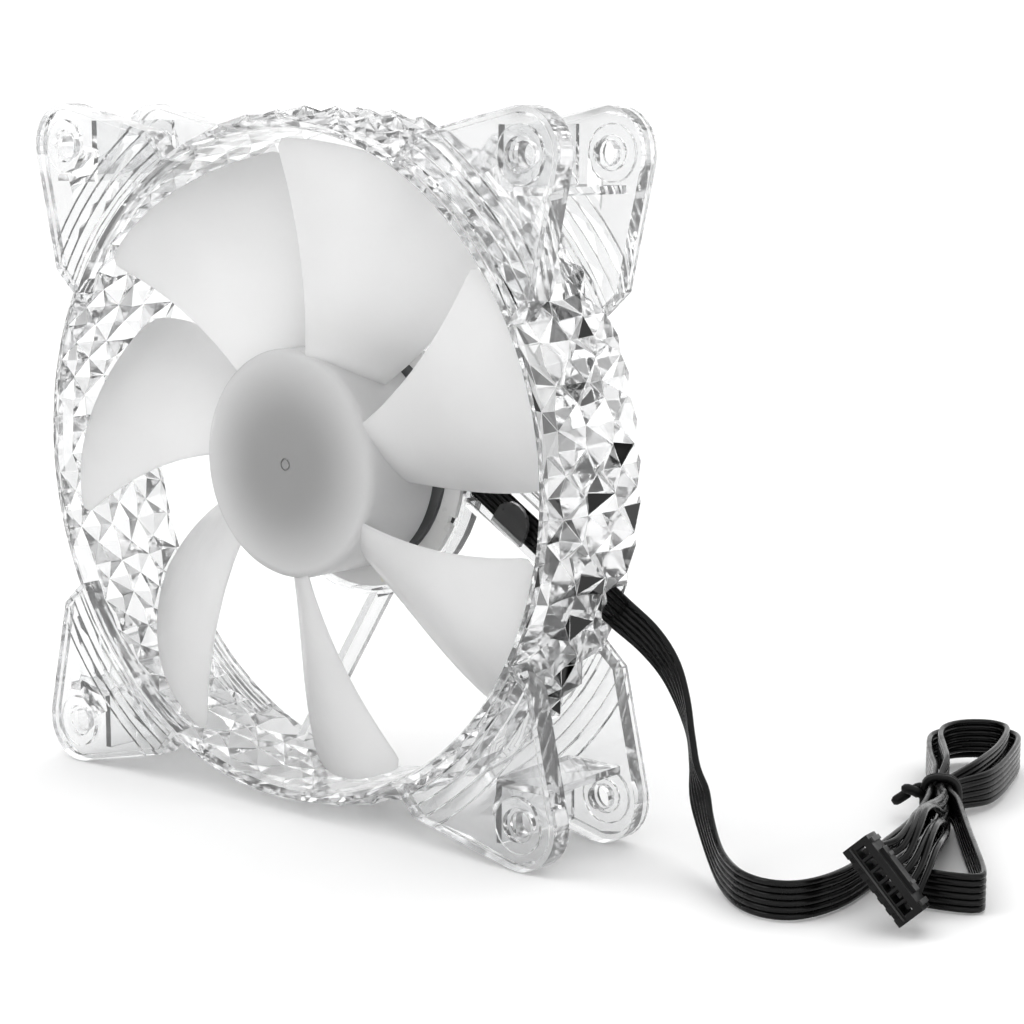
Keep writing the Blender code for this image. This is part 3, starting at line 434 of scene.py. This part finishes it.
def lead_route():
    """Centre in millimetres, width direction, squeeze and looseness at each chosen point."""
    feed = [(*LEAD_EXIT, *TROUGH_ACROSS, 1.0),
            (60.6, 11.0, 34.9, 0.62, -0.10, 0.78, 1.0),
            (64.4, 11.6, 30.6, 0.74, -0.30, 0.60, 1.0),
            (67.4, 11.2, 25.6, 0.74, -0.55, 0.32, 1.0),
            (69.6, 10.4, 20.6, 0.66, -0.74, 0.08, 1.0),
            (71.0, 9.6, 16.0, 0.70, -0.70, 0.05, 1.0),
            (72.6, 8.8, 11.8, 0.86, -0.45, 0.20, 1.0),
            (75.6, 6.6, 7.6, 0.78, -0.55, 0.30, 1.0),
            (79.8, 3.2, 4.4, 0.45, -0.38, 0.80, 1.0),
            (84.4, -0.8, 3.3, 0.10, -0.08, 0.99, 1.0)]
    feed += standing([(90.0, -4.9), (95.0, -6.2), (99.0, -4.5), (101.0, 0.0), (101.4, 6.6),
                      (100.2, 14.6), (98.6, 22.0), (95.4, 36.0), (91.0, 48.5)])
    outer = standing([(83.4, 64.4), (78.6, 71.4), (73.8, 78.8), (71.2, 84.8), (72.0, 90.6),
                      (75.4, 94.4), (79.6, 95.4), (84.2, 92.6), (89.0, 80.4), (92.0, 68.0)],
                     height=3.9)
    front = standing([(95.4, 51.2), (104.6, 38.0), (112.9, 26.4), (117.6, 19.6),
                      (118.7, 16.8), (117.0, 15.2), (112.4, 13.8), (107.8, 13.2),
                      (104.9, 15.2), (103.8, 20.6), (101.0, 32.0), (95.4, 45.5)])
    inner = standing([(85.2, 65.0), (80.8, 72.0), (75.9, 79.2), (73.4, 85.0), (74.0, 89.6),
                      (76.6, 92.5), (79.6, 93.2), (82.8, 90.9), (87.2, 79.8), (90.0, 67.6)],
                     height=5.6)
    last = [(94.4, 48.8, 5.0, -0.12, 0.02, 0.99, 0.9), (99.4, 39.0, 6.6, -0.35, 0.0, 0.93, 1),
            (103.8, 29.0, 8.6, -0.55, -0.05, 0.83, 1, 0.8),
            (107.2, 20.8, 9.9, -0.64, -0.09, 0.75, 1, 1.0),
            (109.2, 15.6, 9.9, *PLUG_ROW, 1.0, 0.6), (110.3, 10.4, 8.4, *PLUG_ROW, 1.35)]
    centre = (PLUG_ORIGIN + PLUG_ROW * PLUG_BACK.x + PLUG_UP * PLUG_BACK.z
              + PLUG_DEPTH * PLUG_BACK.y)
    last += [(*(centre + PLUG_DEPTH * 1.6), *PLUG_ROW, 1.95), (*centre, *PLUG_ROW, 1.96)]
    route = (feed + [at_tie(-1.8)] + outer + [at_tie(1.8)] + front + [at_tie(-0.6, 0.2)]
             + inner + [at_tie(0.6, 0.3)] + last)
    return [point if len(point) == 8 else (*point, 0.0) for point in route]


def ribbon(bm, stations):
    """Six wires side by side; where the ribbon is squeezed they shift over each other."""
    centres = [Vector(s[:3]) * MM for s in stations]
    widths = []
    for i, station in enumerate(stations):
        along = (centres[min(i + 1, len(centres) - 1)] - centres[max(i - 1, 0)]).normalized()
        width = Vector(station[3:6])
        widths.append(((width - along * width.dot(along)).normalized(), along))
    for wire in range(WIRES):
        offset = wire - (WIRES - 1) / 2
        line = []
        for centre, (width, along), station in zip(centres, widths, stations):
            squeeze = station[6]
            aside = SQUEEZE_SHIFT * max(0.0, 1.0 - squeeze) * (1 if wire % 2 else -1)
            sideways, lift = LOOSE_WIRES[wire]
            line.append(centre + width * offset * WIRE_PITCH * squeeze
                        + along.cross(width) * aside
                        + (width * sideways + Vector((0, 0, lift))) * station[7] * MM)
        sweep(bm, line, WIRE_RADIUS)
    return centres


def make_lead():
    """The free ribbon with its centreline, and the straight stretch held in the trough."""
    stations = evenly(catmull_rom(lead_route()), STATION_SPACING)
    bm = bmesh.new()
    centres = ribbon(bm, stations)
    free = make_piece("lead_ribbon", bm, LEAD, 60)
    low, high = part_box("lead_in_strut")
    start = Vector((low.x + HELD_INSET[0], 0.0, high.z - HELD_INSET[1])) / MM
    back = (LEAD_EXIT - start).dot(TROUGH_ALONG)
    inside = []
    for i in range(HELD_STEPS + 1):
        place = LEAD_EXIT - TROUGH_ALONG * back * (1 - i / HELD_STEPS)
        inside.append((*place, *TROUGH_ACROSS, 1.0, 0.0))
    bm = bmesh.new()
    ribbon(bm, inside)
    held = make_piece("lead_in_trough", bm, LEAD, 60)
    return free, held, centres


LEAD_FREE, LEAD_HELD, LEAD_PATH = make_lead()


def wrap_point(share):
    """A point on the rounded-square loops that the tie makes round the bundle."""
    turn = math.pi + math.tau * TIE_TURNS * share
    across, up = (math.copysign(abs(value) ** 0.7, value) * reach
                  for value, reach in zip((math.cos(turn), math.sin(turn)), TIE_REACH))
    drift = TIE_DRIFT * (2 * share - 1)
    return TIE_CENTRE + TIE_ACROSS * across + Vector((0, 0, up)) + TIE_ALONG * drift


def make_tie():
    """A covered wire wound round the bundle, its two ends twisted and left long."""
    bm = bmesh.new()
    wraps = [wrap_point(i / TIE_STEPS) for i in range(TIE_STEPS + 1)]
    head = [wraps[0] + offset for offset in TIE_HEAD]
    tail = [wraps[-1] + offset for offset in TIE_TAIL]
    line = evenly(catmull_rom([tuple(p) for p in head + wraps + tail], 6), 0.5)
    radii = [TIE_RADII[min(i, len(line) - 1 - i, len(TIE_RADII) - 1)] * MM
             for i in range(len(line))]
    sweep(bm, [Vector(p) * MM for p in line], radii, 12)
    return make_piece("twist_tie", bm, TIE, 60)


TWIST_TIE = make_tie()


def make_plug():
    """The housing: the CAD shape with softened edges, and ribs on its upper side and a strip on
    its face, both in a lighter grey as a painted highlight.
    """
    pose = Matrix((PLUG_ROW, PLUG_DEPTH, PLUG_UP)).transposed().to_4x4()
    pose.translation = PLUG_ORIGIN * MM
    body = make_piece("plug_body", welded_copy("plug_housing"), HOUSING)
    edge = body.modifiers.new("edge", "BEVEL")
    edge.width = PLUG_BEVEL
    edge.segments = 2
    edge.limit_method = "ANGLE"
    bm = bmesh.new()
    for size, centre in PLUG_RIBS:
        add_box(bm, size, centre, pose)
    detail = make_piece("plug_latch", bm, PLUG_PAINTED_HIGHLIGHT)
    soften = detail.modifiers.new("edge", "BEVEL")
    soften.width = RIB_BEVEL
    soften.segments = 2
    return body, detail


PLUG_BODY, PLUG_RIBS_AND_HIGHLIGHT = make_plug()


# ---- impeller -----------------------------------------------------------------------
HUB_RADIUS = 19.5
HUB_FRONT, HUB_REAR = -10.5, 5.6
HUB_EDGE = 1.7
HUB_WALL = 1.2
RIM_BEVEL = 0.3
HUB_RINGS = (6, 12, 16)           # extra rings on the hub's front face
GATE_RADII = (0.8, 0.82, 1.08, 1.1)
GATE_DEPTH = 0.5
BLADE_ROOT = 18.7
BLADE_TIP = 54.5
BLADES = 7
# Angles in degrees, places along the axis and bow in millimetres: the terms of a quadratic
# in s, the share of CURVE_SPAN that the radius has gone past CURVE_ROOT.
CURVE_ROOT, CURVE_SPAN = 18.9, 35.7
LEADING_ANGLE = (26.0, 16.8, -1.5)
TRAILING_ANGLE = (-6.6, -2.4, 12.3)
LEADING_Y = (-9.7, 0.2, 0.0)
TRAILING_Y = (-0.7, 15.8, -9.6)
BOW = (1.5, 2.5, 0.0)
ROOT_THICKNESS, TIP_THICKNESS = 1.5, 0.95
EDGE_THICKNESS = 0.55             # at the edges, as a share of the middle's
TIP_TRIM, TRIM_FROM, TRIM_POWER = 0.045, 0.94, 2.2
END_THINNING = 0.55               # of the last station, at the tip
SMOOTH_BELOW = 35


def quadratic(terms, s):
    return terms[0] + terms[1] * s + terms[2] * s ** 2


def blade_point(span, chord):
    """A point of the blade's middle surface in millimetres, before it is placed."""
    s = max(0.0, (span * (BLADE_TIP - BLADE_ROOT) + BLADE_ROOT - CURVE_ROOT) / CURVE_SPAN)
    lead_angle = quadratic(LEADING_ANGLE, s)
    trail_angle = quadratic(TRAILING_ANGLE, s)
    lead_y = quadratic(LEADING_Y, s)
    trail_y = quadratic(TRAILING_Y, s)
    bow = quadratic(BOW, s) * 4 * chord * (1 - chord)
    angle = math.radians(lead_angle + (trail_angle - lead_angle) * chord)
    radius = BLADE_ROOT + (BLADE_TIP - BLADE_ROOT) * span
    return Vector((radius * math.cos(angle), lead_y + (trail_y - lead_y) * chord - bow,
                   radius * math.sin(angle)))


def make_blade(bm, index, stations=26, chord_points=26):
    """One blade as a closed shell, thin at its edges and rounded at its outer corners."""
    turn = Matrix.Rotation(-index * math.tau / BLADES, 3, "Y")
    loops = []
    for i in range(stations + 1):
        span = i / stations
        trim = TIP_TRIM * max(0.0, (span - TRIM_FROM) / (1 - TRIM_FROM)) ** TRIM_POWER
        thick = ROOT_THICKNESS + (TIP_THICKNESS - ROOT_THICKNESS) * span
        front, back = [], []
        for k in range(chord_points + 1):
            raw = 0.5 - 0.5 * math.cos(math.pi * k / chord_points)
            chord = trim + (1 - 2 * trim) * raw
            here = blade_point(span, chord)
            along = blade_point(span, chord + 0.004) - blade_point(span, chord - 0.004)
            normal = along.cross(Vector((here.x, 0, here.z))).normalized()
            edge = math.sqrt(max(0.0, 1 - (2 * raw - 1) ** 8))
            swell = EDGE_THICKNESS + (1 - EDGE_THICKNESS) * math.sin(math.pi * raw)
            half = 0.5 * thick * swell * edge
            if i == stations:
                half *= END_THINNING
            front.append(here + normal * half)
            if 0 < k < chord_points:
                back.append(here - normal * half)
        loops.append([bm.verts.new(turn @ p * MM + AXIS) for p in front + back[::-1]])
    count = len(loops[0])
    for inner, outer in zip(loops, loops[1:]):
        for k in range(count):
            j = (k + 1) % count
            bm.faces.new((inner[k], inner[j], outer[j], outer[k]))
    for loop in (loops[0], loops[-1]):
        for k in range(chord_points):
            add_face(bm, (loop[k], loop[k + 1], loop[-(k + 1)], loop[-k] if k else loop[0]))


def revolve(bm, outline, steps):
    """A solid of revolution about the fan's axis from (radius, y) in millimetres."""
    rings = []
    for radius, y in outline:
        if radius < 1e-6:
            rings.append([bm.verts.new(AXIS + Vector((0, y * MM, 0)))])
        else:
            rings.append([bm.verts.new(AXIS + Vector((radius * MM * math.cos(a), y * MM,
                                                      radius * MM * math.sin(a))))
                          for a in (math.tau * k / steps for k in range(steps))])
    for a, b in zip(rings, rings[1:] + rings[:1]):
        for k in range(steps):
            j = (k + 1) % steps
            add_face(bm, (a[k % len(a)], a[j % len(a)], b[j % len(b)], b[k % len(b)]))


def hub_outline():
    """Half the hub's section, as (radius, y): a cup with a groove round its gate mark."""
    floor = HUB_FRONT + GATE_DEPTH
    outline = [(0, HUB_FRONT), (GATE_RADII[0], HUB_FRONT), (GATE_RADII[1], floor),
               (GATE_RADII[2], floor), (GATE_RADII[3], HUB_FRONT)]
    outline += [(radius, HUB_FRONT) for radius in HUB_RINGS]
    outline += [(HUB_RADIUS - HUB_EDGE + HUB_EDGE * math.sin(a),
                 HUB_FRONT + HUB_EDGE - HUB_EDGE * math.cos(a))
                for a in (math.pi / 2 * k / 8 for k in range(9))]
    inside = HUB_RADIUS - HUB_WALL
    outline += [(HUB_RADIUS, HUB_REAR - RIM_BEVEL), (HUB_RADIUS - RIM_BEVEL, HUB_REAR),
                (HUB_RADIUS - 1.0, HUB_REAR), (inside, HUB_REAR - RIM_BEVEL),
                (inside, HUB_FRONT + HUB_WALL), (0, HUB_FRONT + HUB_WALL)]
    return outline


def make_impeller():
    """The hub and its blades joined into one moulding."""
    bm = bmesh.new()
    revolve(bm, hub_outline(), 128)
    hub = make_piece("impeller_body", bm, FROSTED, SMOOTH_BELOW)
    shells = bmesh.new()
    for index in range(BLADES):
        make_blade(shells, index)
    tool = make_piece("blade_shells", shells, FROSTED, SMOOTH_BELOW)
    join = hub.modifiers.new("join", "BOOLEAN")
    join.operation = "UNION"
    join.object = tool
    graph = bpy.context.evaluated_depsgraph_get()
    joined = bpy.data.meshes.new_from_object(hub.evaluated_get(graph))
    hub.modifiers.clear()
    hub.data = joined
    bpy.data.objects.remove(tool)
    joined.shade_smooth()
    joined.set_sharp_from_angle(angle=math.radians(SMOOTH_BELOW))
    return hub


IMPELLER = make_impeller()


# ---- frame --------------------------------------------------------------------------
# Painted reflection and shade on the facets: a facet on the right side, past the given x, draws
# its tone from the deep ones, painted shade down to black, and one before it from the light
# ones.
LIGHT_PAINTED_TONES = (1.0, 1.0, 1.0, 0.96, 0.92, 0.87, 0.8, 0.7)
DEEP_PAINTED_SHADES = (1.0, 1.0, 1.0, 1.0, 0.97, 0.93, 0.86, 0.7, 0.12, 0.0)
WALL_RADII = (57.0 * MM, 59.98 * MM)
DEEP_SHADE_FROM = 0.036
FACET_AREA = 2.0 * MM * MM
OUTWARD = 0.45
RIDGE_HIGHLIGHT_WIDTH = 0.17 * MM
FLAT_BELOW = 9
# Painted shade on the trough's floor, which is seen dark through the clear plastic.
TONGUE_Y = (8.25 * MM, 9.15 * MM)
TONGUE_FROM = 0.028
TONGUE_FACING = 0.9
TONGUE_PAINTED_SHADE = 0.3


def make_frame():
    """The clear moulding: the CAD shape with flat facets in painted tones of reflection and
    shade, ridges as painted highlight lines, and painted shade on the trough's floor.
    """
    bm = welded_copy("frame")
    bm.faces.ensure_lookup_table()
    bm.normal_update()
    tone = bm.faces.layers.float.new("painted_facet_shade")
    facets = []
    for face in bm.faces:
        middle = face.calc_center_median()
        radial = Vector((middle.x - AXIS.x, 0, middle.z - AXIS.z))
        on_wall = WALL_RADII[0] < radial.length < WALL_RADII[1]
        is_facet = on_wall and face.normal.dot(radial.normalized()) > OUTWARD
        # This facet's painted tone of reflection and shade, darker on the right side.
        value = chance.choice(DEEP_PAINTED_SHADES if middle.x > DEEP_SHADE_FROM else LIGHT_PAINTED_TONES)
        on_tongue = (abs(face.normal.y) > TONGUE_FACING
                     and TONGUE_Y[0] < middle.y < TONGUE_Y[1]
                     and middle.x > TONGUE_FROM and radial.length < WALL_RADII[0])
        face[tone] = value if is_facet else TONGUE_PAINTED_SHADE if on_tongue else 1.0
        if is_facet and face.calc_area() > FACET_AREA:
            facets.append(face)
    # Flat borders round the larger facets keep the full clear tone: painted highlight lines
    # along the ridges.
    ridge_highlights = bmesh.ops.inset_individual(bm, faces=facets, thickness=RIDGE_HIGHLIGHT_WIDTH, depth=0.0)
    for face in ridge_highlights["faces"]:
        face[tone] = 1.0
    return make_piece("frame_body", bm, CLEAR, FLAT_BELOW)


FRAME_BODY = make_frame()

# The CAD parts that keep their shape, each with its look.
for node, look in {
        "rotor_cup": STEEL, "shaft": STEEL, "stator_core": STEEL, "magnet_ring": FERRITE,
        "shaft_bush": BRASS, "bearing_sleeve": BRONZE, "oil_seal_washer": NYLON,
        "retaining_clip": NYLON, "thrust_pad": NYLON, "insulator_front": NYLON,
        "insulator_rear": NYLON, "circuit_board": GREY_BOARD, "led_board": WHITE_BOARD,
        "rear_label": LABEL, "driver_chip": CHIP, "hall_sensor": CHIP, "capacitor": CERAMIC,
        **{f"coil_{i}": COPPER for i in range(1, 5)}, **{f"led_{i}": LED for i in range(1, 5)},
        **{f"contact_{i}": TIN_IN_PAINTED_SHADE for i in range(1, 7)}}.items():
    NODES[node].data.materials.clear()
    NODES[node].data.materials.append(look)

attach(LEAD_FREE, FIXED)
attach(LEAD_HELD, FIXED)
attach(TWIST_TIE, FIXED)
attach(PLUG_BODY, FIXED)
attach(PLUG_RIBS_AND_HIGHLIGHT, FIXED)
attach(FRAME_BODY, FIXED)
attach(IMPELLER, TURNING)
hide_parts("lead_free", "hank_front", "hank_rear")
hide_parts("lead_in_strut")
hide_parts("tie")
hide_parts("plug_housing")
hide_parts("frame")
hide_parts("impeller")


# ---- stage --------------------------------------------------------------------------
FLOOR_SIZE = 40.0
FLOOR_DROP = 0.2 * MM
WORLD_STRENGTH = 1.5
WORLD_SHADES = ((0.36, grey(0.20)), (0.55, grey(1.0)))
# Name, place, size in metres and power in watts.
LAMPS = (("key", (-0.6, -0.8, 1.2), 0.9, 3.0), ("fill", (1.1, -0.5, 0.7), 0.8, 1.0),
         ("rear", (0.1, 1.2, 1.1), 1.0, 2.0))


def make_floor():
    bm = bmesh.new()
    bmesh.ops.create_grid(bm, x_segments=2, y_segments=2, size=FLOOR_SIZE)
    paper = new_material("pale_floor", grey(0.98), 0.9)
    vary_colour(paper, 3.0, grey(0.975), grey(0.985))
    floor = make_piece("floor", bm, paper)
    floor.location.z = -FLOOR_DROP


def make_world():
    """Light from all round in bright and dim zones, with a plain white background."""
    world = bpy.data.worlds.new("studio")
    bpy.context.scene.world = world
    world.use_nodes = True
    nodes, links = world.node_tree.nodes, world.node_tree.links
    back = nodes["Background"]
    where = nodes.new("ShaderNodeTexCoord")
    noise = nodes.new("ShaderNodeTexNoise")
    noise.inputs["Scale"].default_value = 3.4
    noise.inputs["Detail"].default_value = 1.0
    ramp = new_ramp(nodes, *WORLD_SHADES)
    path = nodes.new("ShaderNodeLightPath")
    choose = nodes.new("ShaderNodeMix")
    choose.data_type = "RGBA"
    links.new(where.outputs["Generated"], noise.inputs["Vector"])
    links.new(noise.outputs["Fac"], ramp.inputs["Fac"])
    links.new(ramp.outputs["Color"], choose.inputs[MIX_FIRST])
    choose.inputs[MIX_SECOND].default_value = (1, 1, 1, 1)
    links.new(path.outputs["Is Camera Ray"], choose.inputs["Factor"])
    links.new(choose.outputs[MIX_RESULT], back.inputs["Color"])
    back.inputs["Strength"].default_value = WORLD_STRENGTH


def make_lamps():
    """Three large soft lamps aimed at the fan's middle."""
    for name, place, size, power in LAMPS:
        data = bpy.data.lights.new(name, "AREA")
        data.size = size
        data.energy = power
        lamp = bpy.data.objects.new(name, data)
        lamp.location = place
        aim = AXIS - Vector(place)
        lamp.rotation_euler = aim.to_track_quat("-Z", "Y").to_euler()
        bpy.context.scene.collection.objects.link(lamp)


make_floor()
make_world()
make_lamps()
bpy.context.scene.view_settings.view_transform = "Standard"
